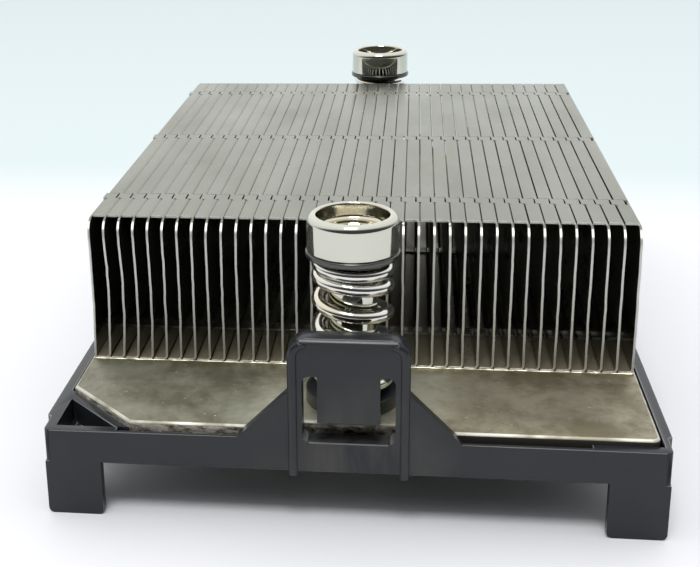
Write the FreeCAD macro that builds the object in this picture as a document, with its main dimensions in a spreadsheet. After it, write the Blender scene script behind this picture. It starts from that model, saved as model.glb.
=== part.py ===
import FreeCAD, Part
import math
import os
import Sketcher

# Passive heatsink for a server processor: a nickel-plated plate in a moulded frame on four legs, a soldered
# stack of interlocked fins, and a sprung captive screw at each end. Millimetres. The origin is on the floor
# under the middle of the plate: +X is to the right, the front screw is at -Y, and +Z is up.

doc = FreeCAD.newDocument("heatsink")

SIZES = {
    # fin stack
    "fin_count": 37,          # folded sheets side by side
    "fin_pitch": 1.85,        # from one sheet to the next
    "fin_thick": 0.35,        # sheet
    "fin_clear": 9.05,        # from a screw's axis to the end of the stack
    "fin_tall": 18.5,         # from the plate to the top flanges
    "fin_corner": 2.3,        # rounding of a sheet's upper corners
    "fin_bend": 0.3,          # bevel where a sheet folds into its flange
    "flange_gap": 0.05,       # between a flange's edge and the next sheet
    "hook_inset": 10.8,       # first and last hook row, from the ends of the stack
    "hook_long": 2.0,         # a hook tab, front to back
    "hook_reach": 0.5,        # how far a tab reaches over the next sheet
    "hook_fit": 0.05,         # clearance round a tab
    "slit_wide": 0.25,        # relief cut beside each tab
    # base plate
    "plate_end": 7.95,        # from a screw's axis to the end of the plate
    "plate_margin": 0.325,    # plate beyond the stack, each side
    "plate_thick": 3.0,       # plate
    "plate_lift": 8.4,        # underside above the feet
    "plate_corner": 1.0,      # radius of the square corners
    "plate_edge": 0.25,       # bevel round the top face
    "key_cut": 8.7,           # chamfer of the key corner
    "notch_deep": 1.6,        # recess of the plate's edge at each tower
    "notch_play": 0.3,        # between the recess and the tower, each side
    # frame
    "end_play": 0.1,          # between the plate and the end walls
    "side_play": 0.4,         # between the plate and the side rails
    "end_wall": 1.4,          # end walls
    "side_rail": 1.2,         # side rails
    "rim_drop": 0.7,          # rim below the plate's top face
    "skirt_drop": 1.65,       # wall below the plate's underside
    "ledge_end": 2.5,         # shelf under the plate, at the ends
    "ledge_side": 0.9,        # shelf under the plate, at the sides
    "corner_step": 0.5,       # the corner blocks stand in from the rails
    "corner_block": 3.4,      # corner blocks, front to back
    "corner_round": 0.7,      # upright corner edges
    "key_rib": 1.25,          # web between the key corner's pocket and the plate
    "pocket_floor": 1.2,      # floor of that pocket, and of its deeper part in the leg
    "leg_wide": 6.5,          # legs, left to right
    "leg_deep": 6.5,          # legs, front to back
    "leg_wall": 1.25,         # walls of the hollow legs
    "lip_thick": 0.6,         # rim beside the towers, where it is relieved
    "lip_deep": 1.2,          # depth of that relief
    "lip_long": 14.0,         # length of that relief
    # towers
    "tower_wide": 13.5,       # tower
    "tower_tall": 11.45,      # above the plate's top face
    "tower_thick": 2.4,       # front to back
    "tower_round": 2.2,       # its upper corners
    "gusset_run": 5.7,        # slanted web on each side
    "gusset_root": 1.0,       # how far that web reaches down into the rim
    "post_wide": 1.6,         # post on each side of the window
    "window_tall": 6.95,      # top of the window above the plate's top face
    "window_drop": 0.35,      # its bottom edge below the rim
    "window_round": 0.8,      # its corners
    "slot_wide": 1.7,         # slot on each side of the snap tongue
    "tongue_thick": 1.3,      # its panel
    "tongue_rise": 1.4,       # its front lower edge above the plate's top face
    "hook_nose": 0.6,         # overlap of its nose on the plate
    "nose_play": 0.1,         # nose above the plate
    "nose_tall": 0.7,         # nose's upright tip
    "rib_radius": 0.55,       # half-round ribs on the tower's face
    "rib_sink": 0.2,          # their axis behind the face
    "rib_inset": 0.15,        # they pass this far inside the tower's upper corners
    "rib_tail": 0.5,          # they end this far below the wall
    # captive screws
    "screw_spacing": 104.1,   # between the two screws
    "head_radius": 5.25,      # head
    "head_tall": 4.25,        # head
    "head_bevel": 1.0,        # rounding of its upper edge
    "dish_radius": 4.15,      # dished top
    "dish_deep": 1.9,         # dished top
    "dish_draft": 0.3,        # its wall's slope, over the whole depth
    "socket_radius": 2.5,     # drive socket
    "socket_deep": 1.5,       # drive socket
    "shank_radius": 2.85,     # shank
    "shank_play": 0.05,       # shank in the plate, all round
    "tip_radius": 2.4,        # threaded tip
    "tip_lift": 4.3,          # tip above the feet when released
    "shank_end": 1.0,         # full shank below the clip
    "washer_radius": 5.4,     # washer
    "washer_thick": 0.7,      # washer
    "washer_play": 0.15,      # washer on the shank, all round
    "spring_tall": 16.4,      # spring as fitted
    "spring_radius": 4.05,    # to the middle of the wire
    "wire_radius": 0.75,      # wire
    "spring_turns": 3.4,      # open turns
    "closed_turns": 1.25,     # closed turns at each end
    "spring_end": 170.0,      # direction of the wire's upper end about the screw, in degrees from +X
    "cup_wall": 0.5,          # spring cup
    "cup_floor": 1.5,         # spring cup
    "cup_tall": 2.1,          # spring cup
    "cup_play": 0.15,         # cup round the spring
    "clip_radius": 4.2,       # retaining clip
    "clip_thick": 0.8,        # retaining clip
    "clip_play": 0.02,        # clip below the plate when released
    "groove_deep": 0.6,       # clip's groove in the shank
}

sheet = doc.addObject("Spreadsheet::Sheet", "sizes")
for row, (alias, number) in enumerate(SIZES.items(), start=1):
    sheet.set(f"A{row}", alias)
    sheet.set(f"B{row}", str(number))
    sheet.setAlias(f"B{row}", alias)
doc.recompute()


class Dim:
    """A length with its value and the sheet expression that gives it."""

    def __init__(self, value, text):
        self.value = value
        self.text = text

    def __add__(self, other):
        other = dim(other)
        return Dim(self.value + other.value, f"({self.text} + {other.text})")

    def __sub__(self, other):
        other = dim(other)
        return Dim(self.value - other.value, f"({self.text} - {other.text})")

    def __mul__(self, other):
        other = dim(other)
        return Dim(self.value * other.value, f"({self.text} * {other.text})")

    def __truediv__(self, other):
        other = dim(other)
        return Dim(self.value / other.value, f"({self.text} / {other.text})")

    def __neg__(self):
        return Dim(-self.value, f"(0 - {self.text})")


def dim(number):
    return number if isinstance(number, Dim) else Dim(float(number), repr(float(number)))


def size(alias):
    return Dim(float(sheet.get(alias)), f"sizes.{alias}")


def bind(thing, prop, length):
    thing.setExpression(prop, dim(length).text)


# Levels and places that several pieces share.
PLATE_LOW = size("plate_lift")
PLATE_TOP = PLATE_LOW + size("plate_thick")
RIM_TOP = PLATE_TOP - size("rim_drop")
SKIRT = PLATE_LOW - size("skirt_drop")
TOWER_TOP = PLATE_TOP + size("tower_tall")
WINDOW_TOP = PLATE_TOP + size("window_tall")
WINDOW_LOW = RIM_TOP - size("window_drop")
SCREW_Y = size("screw_spacing") / 2
STACK_X = (size("fin_pitch") * (size("fin_count") - 1) + size("fin_thick")) / 2
STACK_Y = SCREW_Y - size("fin_clear")
PLATE_Y = SCREW_Y + size("plate_end")
PLATE_X = STACK_X + size("plate_margin")
SEAT_Y = PLATE_Y + size("end_play")
SEAT_X = PLATE_X + size("side_play")
FRAME_Y = SEAT_Y + size("end_wall")
FRAME_X = SEAT_X + size("side_rail")
LEG_OUT = FRAME_X - size("corner_step")
LEG_IN = LEG_OUT - size("leg_wide")
LEG_BACK = FRAME_Y - size("leg_deep")
LEG_CORE_X = LEG_OUT - size("leg_wall")
LEG_CORE_Y = FRAME_Y - size("leg_wall")
NOTCH_Y = PLATE_Y - size("notch_deep")
NOTCH_X = size("tower_wide") / 2 + size("notch_play")
WINDOW_X = size("tower_wide") / 2 - size("post_wide")
HOLE_RADIUS = size("shank_radius") + size("shank_play")
SPRING_LOW = PLATE_TOP + size("cup_floor")
SPRING_TOP = SPRING_LOW + size("spring_tall")
HEAD_LOW = SPRING_TOP + size("washer_thick")
HEAD_TOP = HEAD_LOW + size("head_tall")

# Middle of a quarter round, from the sharp corner, as a share of its radius.
ROUND_MIDDLE = 1 - math.sqrt(0.5)

# A spring's wire: lengths to a turn, sides, and the closed coils' pitch in wire diameters.
SPRING_STEPS = 20
WIRE_SIDES = 8
CLOSED_PITCH = 1.04


# ---------------------------------------------------------------- tools of this document


def plane(body, role):
    return next(item for item in body.Origin.OriginFeatures if item.Role == role)


def new_body(name):
    body = doc.addObject("PartDesign::Body", name)
    body.Label = name
    return body


def flat_sketch(body, name, role, lift, loops=(), rounds=()):
    """A sketch on an origin plane, `lift` along its normal: loops of corners and (x, y, radius) circles."""
    drawing = body.newObject("Sketcher::SketchObject", name)
    drawing.AttachmentSupport = [(plane(body, role), "")]
    drawing.MapMode = "FlatFace"
    drawing.setExpression("AttachmentOffset.Base.z", dim(lift).text)

    def hold(kind, place, item, point, length):
        length = dim(length)
        index = drawing.addConstraint(Sketcher.Constraint(kind, -1, 1, item, point, length.value))
        drawing.setExpression(f"Constraints[{index}]", length.text)

    for loop in loops:
        corners = [(dim(x), dim(y)) for x, y in loop]
        spots = [FreeCAD.Vector(x.value, y.value, 0) for x, y in corners]
        first = drawing.GeometryCount
        for here, there in zip(spots, spots[1:] + spots[:1]):
            drawing.addGeometry(Part.LineSegment(here, there))
        for step, (x, y) in enumerate(corners):
            line = first + step
            before = first + (step - 1) % len(corners)
            drawing.addConstraint(Sketcher.Constraint("Coincident", before, 2, line, 1))
            hold("DistanceX", x, line, 1, x)
            hold("DistanceY", y, line, 1, y)
    for x, y, radius in rounds:
        x, y, radius = dim(x), dim(y), dim(radius)
        centre = FreeCAD.Vector(x.value, y.value, 0)
        item = drawing.addGeometry(Part.Circle(centre, FreeCAD.Vector(0, 0, 1), radius.value))
        hold("DistanceX", x, item, 3, x)
        hold("DistanceY", y, item, 3, y)
        index = drawing.addConstraint(Sketcher.Constraint("Radius", item, radius.value))
        drawing.setExpression(f"Constraints[{index}]", radius.text)
    return drawing


def pad(body, name, drawing, length, midplane=False):
    feature = body.newObject("PartDesign::Pad", name)
    feature.Profile = drawing
    feature.Midplane = midplane
    bind(feature, "Length", length)
    doc.recompute()
    return feature


def pocket(body, name, drawing, length):
    """A cut that runs against the sketch's normal."""
    feature = body.newObject("PartDesign::Pocket", name)
    feature.Profile = drawing
    bind(feature, "Length", length)
    doc.recompute()
    return feature


def dress(body, name, kind, prop, length, chosen):
    """Rounds or bevels the edges that `chosen` accepts."""
    base = body.Tip
    names = [f"Edge{i}" for i, edge in enumerate(base.Shape.Edges, start=1) if chosen(edge)]
    feature = body.newObject(kind, name)
    feature.Base = (base, names)
    bind(feature, prop, length)
    doc.recompute()
    return feature


def mirrored(body, name, features):
    feature = body.newObject("PartDesign::Mirrored", name)
    feature.Originals = features
    feature.MirrorPlane = (plane(body, "XZ_Plane"), [""])
    body.Tip = feature
    doc.recompute()
    return feature


def near(number, other):
    return abs(number - other) < 1e-4


def upright(edge, x=None, y=None):
    """True for a vertical edge at the given x and y, where those are given."""
    low, high = edge.Vertexes[0].Point, edge.Vertexes[-1].Point
    if not (near(low.x, high.x) and near(low.y, high.y)):
        return False
    return (x is None or near(abs(low.x), x)) and (y is None or near(abs(low.y), y))


# ---------------------------------------------------------------- base plate


def make_plate():
    """Plate with its key corner at the front left, a recess at each tower and a hole for each screw."""
    body = new_body("base_plate")
    key = size("key_cut")
    outline = [
        (-NOTCH_X, -PLATE_Y),
        (-NOTCH_X, -NOTCH_Y),
        (NOTCH_X, -NOTCH_Y),
        (NOTCH_X, -PLATE_Y),
        (PLATE_X, -PLATE_Y),
        (PLATE_X, PLATE_Y),
        (NOTCH_X, PLATE_Y),
        (NOTCH_X, NOTCH_Y),
        (-NOTCH_X, NOTCH_Y),
        (-NOTCH_X, PLATE_Y),
        (-PLATE_X, PLATE_Y),
        (-PLATE_X, -PLATE_Y + key),
        (-PLATE_X + key, -PLATE_Y),
    ]
    drawing = flat_sketch(body, "plate_outline", "XY_Plane", PLATE_LOW, [outline])
    pad(body, "plate_slab", drawing, size("plate_thick"))
    holes = [(0, -SCREW_Y, HOLE_RADIUS), (0, SCREW_Y, HOLE_RADIUS)]
    drawing = flat_sketch(body, "screw_holes", "XY_Plane", PLATE_TOP, rounds=holes)
    pocket(body, "screw_holes_cut", drawing, size("plate_thick"))
    corner = size("plate_corner")
    dress(body, "plate_corners", "PartDesign::Fillet", "Radius", corner,
          lambda edge: upright(edge, PLATE_X.value, PLATE_Y.value))
    top = PLATE_TOP.value
    shortest = 2 * size("notch_deep").value

    def rim(edge):
        spots = [v.Point for v in edge.Vertexes]
        return all(near(p.z, top) for p in spots) and edge.BoundBox.YLength + edge.BoundBox.XLength > shortest

    dress(body, "plate_bevel", "PartDesign::Chamfer", "Size", size("plate_edge"),
          lambda edge: rim(edge) and not isinstance(edge.Curve, Part.Circle))
    return body


# ---------------------------------------------------------------- frame


def box_loop(x_low, x_high, y_low, y_high):
    return [(x_low, y_low), (x_high, y_low), (x_high, y_high), (x_low, y_high)]


def frame_ring(body):
    """Rim and skirt round the plate: solid outline first, then the plate's seat and the open middle."""
    block_x = FRAME_X - size("corner_step")
    block_y = FRAME_Y - size("corner_block")
    rail_y = block_y - size("corner_step")
    corner = [(FRAME_X, rail_y), (block_x, block_y), (block_x, FRAME_Y)]
    rear = corner + [(-x, y) for x, y in reversed(corner)]
    outline = rear + [(x, -y) for x, y in reversed(rear)]
    drawing = flat_sketch(body, "ring_outline", "XY_Plane", SKIRT, [outline])
    pad(body, "ring", drawing, RIM_TOP - SKIRT)
    dress(body, "ring_corners", "PartDesign::Fillet", "Radius", size("corner_round"),
          lambda edge: upright(edge, block_x.value, FRAME_Y.value))
    key = size("key_cut") + size("side_play")
    seat = [(-SEAT_X + key, -SEAT_Y), (SEAT_X, -SEAT_Y), (SEAT_X, SEAT_Y), (-SEAT_X, SEAT_Y),
            (-SEAT_X, -SEAT_Y + key)]
    drawing = flat_sketch(body, "seat_outline", "XY_Plane", RIM_TOP, [seat])
    pocket(body, "seat", drawing, RIM_TOP - PLATE_LOW)
    open_x = PLATE_X - size("ledge_side")
    open_y = PLATE_Y - size("ledge_end")
    opening = [(-LEG_IN, -open_y), (LEG_IN, -open_y), (open_x, -LEG_BACK), (open_x, LEG_BACK), (LEG_IN, open_y),
               (-LEG_IN, open_y), (-open_x, LEG_BACK), (-open_x, -LEG_BACK)]
    drawing = flat_sketch(body, "opening_outline", "XY_Plane", PLATE_LOW, [opening])
    pocket(body, "opening", drawing, PLATE_LOW - SKIRT)


def rib_elbow(body, side, y, level):
    """Quarter turn that carries a rib round a tower corner, side -1 on the left and 1 on the right."""
    name = "left_elbow" if side < 0 else "right_elbow"
    radius = size("rib_radius")
    inward = size("tower_round") - radius - size("rib_inset")
    x = (size("tower_wide") / 2 - radius) * side
    drawing = flat_sketch(body, f"{name}_section", "XY_Plane", level, rounds=[(x, -y, radius)])
    axis = body.newObject("Sketcher::SketchObject", f"{name}_axis")
    axis.AttachmentSupport = [(plane(body, "XY_Plane"), "")]
    axis.MapMode = "FlatFace"
    axis.setExpression("AttachmentOffset.Base.z", level.text)
    axis.setExpression("AttachmentOffset.Base.x", (x - inward * side).text)
    axis.addGeometry(Part.LineSegment(FreeCAD.Vector(0, 0, 0), FreeCAD.Vector(0, 1, 0)))
    axis.addConstraint(Sketcher.Constraint("Coincident", 0, 1, -1, 1))
    axis.addConstraint(Sketcher.Constraint("Vertical", 0))
    doc.recompute()
    feature = body.newObject("PartDesign::Revolution", name)
    feature.Profile = drawing
    feature.ReferenceAxis = (axis, ["Edge1"])
    feature.Angle = 90
    feature.Reversed = side > 0
    doc.recompute()
    return feature


def end_features(body):
    """What the front wall carries. The same features are mirrored to the rear wall afterwards."""
    half_tower = size("tower_wide") / 2
    run = size("gusset_run")
    root = RIM_TOP - size("gusset_root")
    wall = [(-half_tower - run, root), (-half_tower - run, RIM_TOP), (-half_tower, RIM_TOP + run),
            (half_tower, RIM_TOP + run), (half_tower + run, RIM_TOP), (half_tower + run, root)]
    drawing = flat_sketch(body, "gusset_outline", "XZ_Plane", SEAT_Y, [wall])
    gussets = pad(body, "gussets", drawing, size("end_wall"))
    inner = FRAME_Y - size("tower_thick")
    elbow = TOWER_TOP - size("tower_round")
    crown_x = half_tower - size("tower_round")
    block = box_loop(-half_tower, half_tower, SKIRT, elbow)
    drawing = flat_sketch(body, "tower_outline", "XZ_Plane", inner, [block])
    tower = pad(body, "tower", drawing, size("tower_thick"))
    block = box_loop(-crown_x, crown_x, SKIRT, TOWER_TOP)
    drawing = flat_sketch(body, "crown_outline", "XZ_Plane", inner, [block])
    crown = pad(body, "crown", drawing, size("tower_thick"))
    rounds = [(-crown_x, elbow, size("tower_round")), (crown_x, elbow, size("tower_round"))]
    drawing = flat_sketch(body, "crown_rounds_outline", "XZ_Plane", inner, rounds=rounds)
    crown_rounds = pad(body, "crown_rounds", drawing, size("tower_thick"))

    window = box_loop(-WINDOW_X, WINDOW_X, WINDOW_LOW, WINDOW_TOP)
    drawing = flat_sketch(body, "window_outline", "XZ_Plane", FRAME_Y, [window])
    opening = pocket(body, "window", drawing, size("tower_thick"))

    tip_y = -NOTCH_Y + size("hook_nose")
    panel_y = -FRAME_Y + size("tongue_thick")
    nose_low = PLATE_TOP + size("nose_play")
    nose_top = nose_low + size("nose_tall")
    tongue = [(-FRAME_Y, PLATE_TOP + size("tongue_rise")), (-NOTCH_Y, nose_low), (tip_y, nose_low),
              (tip_y, nose_top), (panel_y, nose_top + (tip_y - panel_y)), (panel_y, WINDOW_TOP),
              (-FRAME_Y, WINDOW_TOP)]
    drawing = flat_sketch(body, "tongue_outline", "YZ_Plane", 0, [tongue])
    snap = pad(body, "tongue", drawing, (WINDOW_X - size("slot_wide")) * 2, midplane=True)

    rib_x = half_tower - size("rib_radius")
    rib_y = FRAME_Y - size("rib_sink")
    low = SKIRT - size("rib_tail")
    ribs = [(-rib_x, -rib_y, size("rib_radius")), (rib_x, -rib_y, size("rib_radius"))]
    drawing = flat_sketch(body, "rib_outline", "XY_Plane", low, rounds=ribs)
    columns = pad(body, "ribs", drawing, elbow - low)
    elbows = [rib_elbow(body, -1, rib_y, elbow), rib_elbow(body, 1, rib_y, elbow)]

    feet = [box_loop(LEG_IN, LEG_OUT, -FRAME_Y, -LEG_BACK), box_loop(-LEG_OUT, -LEG_IN, -FRAME_Y, -LEG_BACK)]
    drawing = flat_sketch(body, "leg_outline", "XY_Plane", 0, feet)
    legs = pad(body, "legs", drawing, SKIRT)
    core = box_loop(LEG_IN, LEG_CORE_X, -LEG_CORE_Y, -LEG_BACK)
    drawing = flat_sketch(body, "leg_core_outline", "XY_Plane", SKIRT, [core])
    hollows = pocket(body, "leg_core", drawing, SKIRT)

    lip_y = FRAME_Y - size("lip_thick")
    lip_low = half_tower + run
    lip_high = lip_low + size("lip_long")
    relief = [box_loop(lip_low, lip_high, -lip_y, -SEAT_Y), box_loop(-lip_high, -lip_low, -lip_y, -SEAT_Y)]
    drawing = flat_sketch(body, "lip_outline", "XY_Plane", RIM_TOP, relief)
    lip = pocket(body, "lip", drawing, size("lip_deep"))
    return [gussets, tower, crown, crown_rounds, opening, snap, columns, *elbows, legs, hollows, lip]


def corner_triangle(reach):
    """Triangle in the key corner's inner angle, `reach` along both outer walls."""
    left, front = -LEG_CORE_X, -LEG_CORE_Y
    return [(left, front), (left + reach, front), (left, front + reach)]


def left_legs(body):
    """The rear leg is an angle of two walls. The key corner's leg has a web across and a deep pocket."""
    core = box_loop(-LEG_CORE_X, -LEG_IN, LEG_BACK, LEG_CORE_Y)
    beyond = [(-LEG_IN, -LEG_CORE_Y), (-LEG_IN, -LEG_BACK), (-LEG_CORE_X, -LEG_BACK)]
    drawing = flat_sketch(body, "left_leg_core_outline", "XY_Plane", SKIRT, [core, beyond])
    pocket(body, "left_leg_cores", drawing, SKIRT)
    web = size("key_rib") * math.sqrt(2)
    reach = (LEG_CORE_X - SEAT_X) + (LEG_CORE_Y - SEAT_Y) + size("key_cut") + size("side_play") - web
    floor = SKIRT + size("pocket_floor")
    drawing = flat_sketch(body, "key_outline", "XY_Plane", RIM_TOP, [corner_triangle(reach)])
    pocket(body, "key_corner", drawing, RIM_TOP - floor)
    inside = size("leg_wide") - size("leg_wall") - web
    drawing = flat_sketch(body, "key_leg_outline", "XY_Plane", floor, [corner_triangle(inside)])
    pocket(body, "key_leg", drawing, floor - size("pocket_floor"))


def make_frame():
    """One moulding: rim, skirt, ledge, legs, towers with window, snap tongue and ribs, and the key corner."""
    body = new_body("frame")
    frame_ring(body)
    mirrored(body, "rear_end", end_features(body))
    left_legs(body)
    levels = (WINDOW_LOW.value, WINDOW_TOP.value)

    def window_corner(edge):
        spots = [v.Point for v in edge.Vertexes]
        along_y = near(spots[0].x, spots[-1].x) and near(spots[0].z, spots[-1].z)
        level_end = any(near(spots[0].z, level) for level in levels)
        return along_y and level_end and near(abs(spots[0].x), WINDOW_X.value)

    dress(body, "window_corners", "PartDesign::Fillet", "Radius", size("window_round"), window_corner)

    def foot(edge):
        spots = [v.Point for v in edge.Vertexes]
        level = all(near(p.z, 0) for p in spots) and near(spots[0].x, spots[-1].x)
        return level and any(near(abs(spots[0].x), x.value) for x in (LEG_IN, LEG_OUT))

    dress(body, "feet", "PartDesign::Fillet", "Radius", size("corner_round"), foot)
    return body


# ---------------------------------------------------------------- fins


def fold_section(left, right, top, thick, bend):
    """Section across a top flange: a flat, bevelled by `bend` where it folds down into the sheet."""
    low = top - bend - thick
    spots = [(left, top), (left, top - thick), (right - thick, top - thick), (right - thick, low), (right, low),
             (right, top - bend), (right - bend, top)]
    corners = [FreeCAD.Vector(x, 0, z) for x, z in spots]
    return Part.Face(Part.makePolygon(corners + corners[:1]))


def fin_sheet(flanged):
    """One folded sheet, web at x = 0: flanges to the left, hook tabs, their notches and the relief slits."""
    thick, tall = size("fin_thick").value, size("fin_tall").value
    half = STACK_Y.value
    corner, bend, gap = size("fin_corner").value, size("fin_bend").value, size("flange_gap").value
    base = PLATE_TOP.value
    top = base + tall
    left, right = thick / 2 - size("fin_pitch").value + gap, thick / 2
    folded = Part.makeBox(thick, 2 * half, tall, FreeCAD.Vector(-thick / 2, -half, base))
    tips = [edge for edge in folded.Edges
            if near(edge.BoundBox.XLength, thick) and near(edge.BoundBox.ZMin, top)]
    folded = folded.makeFillet(corner, tips)
    if flanged:
        long = 2 * (half - corner)
        crest = Part.makeBox(thick, long, tall, FreeCAD.Vector(-thick / 2, -long / 2, top - bend))
        flange = fold_section(left, right, top, thick, bend).extrude(FreeCAD.Vector(0, long, 0))
        flange.translate(FreeCAD.Vector(0, -long / 2, 0))
        foot = Part.makeBox(right - left, 2 * half, thick, FreeCAD.Vector(left, -half, base))
        folded = folded.cut(crest).fuse([flange, foot])

    hook, over, fit = size("hook_long").value, size("hook_reach").value, size("hook_fit").value
    slit = size("slit_wide").value
    inset = half - size("hook_inset").value
    under = top - thick
    notch_from = right + gap - over - fit
    for row in (-inset, 0.0, inset):
        notch = Part.makeBox(over + bend, hook + 2 * fit, bend + thick,
                             FreeCAD.Vector(notch_from, row - hook / 2 - fit, under - fit))
        if flanged:
            tab = Part.makeBox(over + thick, hook, thick, FreeCAD.Vector(left - over, row - hook / 2, under))
            slot = Part.makeBox(notch_from - left, slit, 2 * thick,
                                FreeCAD.Vector(left, row + hook / 2, under - fit))
            folded = folded.fuse(tab).cut(slot)
        folded = folded.cut(notch)
    return folded.removeSplitter()


def make_fins():
    """All fins, left to right. The first has no neighbour to reach, so it is a plain sheet."""
    count = int(size("fin_count").value)
    plain, folded = fin_sheet(False), fin_sheet(True)
    fins = []
    for number in range(count):
        fin = doc.addObject("Part::Feature", f"fin_{number + 1:02d}")
        fin.Label = f"fin_{number + 1:02d}"
        fin.Shape = folded if number else plain
        place = size("fin_pitch") * (dim(number) - (size("fin_count") - 1) / 2)
        fin.setExpression(".Placement.Base.x", place.text)
        fins.append(fin)
    return fins


# ---------------------------------------------------------------- captive screws


def turned(body, name, outline):
    """A revolved profile about +Z."""
    drawing = flat_sketch(body, f"{name}_profile", "XZ_Plane", 0, [outline])
    feature = body.newObject("PartDesign::Revolution", name)
    feature.Profile = drawing
    feature.ReferenceAxis = (drawing, ["V_Axis"])
    feature.Angle = 360
    doc.recompute()
    return feature


def make_screw(name):
    """Round head with a dished top and a drive socket, shank with the clip's groove, and the threaded tip."""
    body = new_body(name)
    head, shank = size("head_radius"), size("shank_radius")
    bevel, tip, dish = size("head_bevel"), size("tip_radius"), size("dish_radius")
    clip_top = PLATE_LOW - size("clip_play")
    clip_low = clip_top - size("clip_thick")
    shank_low = clip_low - size("shank_end")
    middle = bevel * ROUND_MIDDLE
    neck = shank - size("groove_deep")
    floor = HEAD_TOP - size("dish_deep")
    profile = [(0, size("tip_lift")), (tip, size("tip_lift")), (tip, shank_low), (shank, shank_low),
               (shank, clip_low), (neck, clip_low), (neck, clip_top), (shank, clip_top), (shank, HEAD_LOW),
               (head, HEAD_LOW), (head, HEAD_TOP - bevel), (head - middle, HEAD_TOP - middle),
               (head - bevel, HEAD_TOP), (dish, HEAD_TOP), (dish - size("dish_draft"), floor), (0, floor)]
    turned(body, f"{name}_turned", profile)
    hexagon = []
    for turn in range(6):
        angle = math.radians(60 * turn)
        hexagon.append((size("socket_radius") * math.cos(angle), size("socket_radius") * math.sin(angle)))
    drawing = flat_sketch(body, f"{name}_hexagon", "XY_Plane", floor, [hexagon])
    pocket(body, f"{name}_socket", drawing, size("socket_deep"))
    return body


def make_ring(name, inner, outer, low, tall):
    """A flat ring about +Z."""
    body = new_body(name)
    drawing = flat_sketch(body, f"{name}_outline", "XY_Plane", low, rounds=[(0, 0, outer), (0, 0, inner)])
    pad(body, f"{name}_ring", drawing, tall)
    return body


def make_cup(name):
    """Collar with a floor, which centres the spring on the plate."""
    body = new_body(name)
    bore = size("spring_radius") + size("wire_radius") + size("cup_play")
    outer = bore + size("cup_wall")
    low, top = PLATE_TOP, PLATE_TOP + size("cup_tall")
    inner = HOLE_RADIUS + size("cup_play")
    profile = [(inner, low), (outer, low), (outer, top), (bore, top), (bore, SPRING_LOW), (inner, SPRING_LOW)]
    turned(body, f"{name}_turned", profile)
    return body


def make_spring(name):
    """Left-hand compression spring in short straight lengths, with a closed coil at each end."""
    wire, radius = size("wire_radius").value, size("spring_radius").value
    tall = size("spring_tall").value - 2 * wire
    turns, closed_turns = size("spring_turns").value, size("closed_turns").value
    closed = 2 * wire * CLOSED_PITCH
    open_pitch = (tall - 2 * closed_turns * closed) / turns
    total = turns + 2 * closed_turns
    steps = round(total * SPRING_STEPS)
    path = []
    for step in range(steps + 1):
        turn = total * step / steps
        opened = min(max(turn - closed_turns, 0), turns)
        rise = closed * (turn - opened) + open_pitch * opened
        angle = math.radians(size("spring_end").value) + 2 * math.pi * (total - turn)
        path.append(FreeCAD.Vector(radius * math.cos(angle), radius * math.sin(angle),
                                   SPRING_LOW.value + wire + rise))
    along = (path[1] - path[0]).normalize()
    outward = FreeCAD.Vector(path[0].x, path[0].y, 0).normalize()
    upward = along.cross(outward)
    ring = [path[0] + outward * wire * math.cos(turn) + upward * wire * math.sin(turn)
            for turn in (2 * math.pi * side / WIRE_SIDES for side in range(WIRE_SIDES + 1))]
    coil = Part.makePolygon(path).makePipeShell([Part.makePolygon(ring)], True, False, 1)
    spring = doc.addObject("Part::Feature", name)
    spring.Label = name
    spring.Shape = coil
    return spring


def make_fastener(end, side):
    """The five pieces of one captive screw, side -1 at the front and 1 at the rear."""
    shank = size("shank_radius")
    clip_low = PLATE_LOW - size("clip_play") - size("clip_thick")
    pieces = [
        make_screw(f"{end}_screw"),
        make_ring(f"{end}_washer", shank + size("washer_play"), size("washer_radius"), SPRING_TOP,
                  size("washer_thick")),
        make_spring(f"{end}_spring"),
        make_cup(f"{end}_spring_cup"),
        make_ring(f"{end}_retaining_clip", shank - size("groove_deep"), size("clip_radius"), clip_low,
                  size("clip_thick")),
    ]
    for piece in pieces:
        piece.setExpression(".Placement.Base.y", (SCREW_Y * side).text)
    return pieces


# ---------------------------------------------------------------- the whole heatsink

parts = [make_plate(), make_frame(), *make_fins(), *make_fastener("front", -1), *make_fastener("rear", 1)]
doc.recompute()
for item in doc.Objects:
    if "Invalid" in item.State or "Error" in item.State:
        raise RuntimeError(f"{item.Label} failed: {item.State}")
os.makedirs("parts", exist_ok=True)
for piece in parts:
    shape = piece.Shape
    if shape.isNull() or not shape.isValid() or len(shape.Solids) != 1:
        raise RuntimeError(f"{piece.Label} is not one valid solid")
for piece in parts:
    piece.Shape.exportStep(f"parts/{piece.Label}.step")
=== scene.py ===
import itertools
import math

import bmesh
import bpy
from mathutils import Euler, Matrix, Vector, noise


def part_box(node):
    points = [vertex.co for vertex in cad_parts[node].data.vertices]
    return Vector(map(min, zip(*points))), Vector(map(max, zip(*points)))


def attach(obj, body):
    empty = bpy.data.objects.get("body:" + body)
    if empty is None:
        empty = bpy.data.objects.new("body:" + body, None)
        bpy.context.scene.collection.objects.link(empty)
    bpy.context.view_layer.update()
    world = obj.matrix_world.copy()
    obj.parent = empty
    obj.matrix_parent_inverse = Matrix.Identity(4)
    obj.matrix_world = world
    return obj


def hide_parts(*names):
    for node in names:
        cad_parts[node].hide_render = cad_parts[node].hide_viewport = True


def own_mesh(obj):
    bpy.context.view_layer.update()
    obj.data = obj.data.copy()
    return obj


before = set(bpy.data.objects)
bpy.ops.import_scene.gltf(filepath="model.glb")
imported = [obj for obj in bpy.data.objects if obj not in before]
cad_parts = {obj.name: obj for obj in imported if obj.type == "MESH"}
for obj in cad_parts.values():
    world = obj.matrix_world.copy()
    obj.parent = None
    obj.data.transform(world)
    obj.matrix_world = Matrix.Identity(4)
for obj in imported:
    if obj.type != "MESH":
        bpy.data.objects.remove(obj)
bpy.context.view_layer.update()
MM = 0.001

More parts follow.
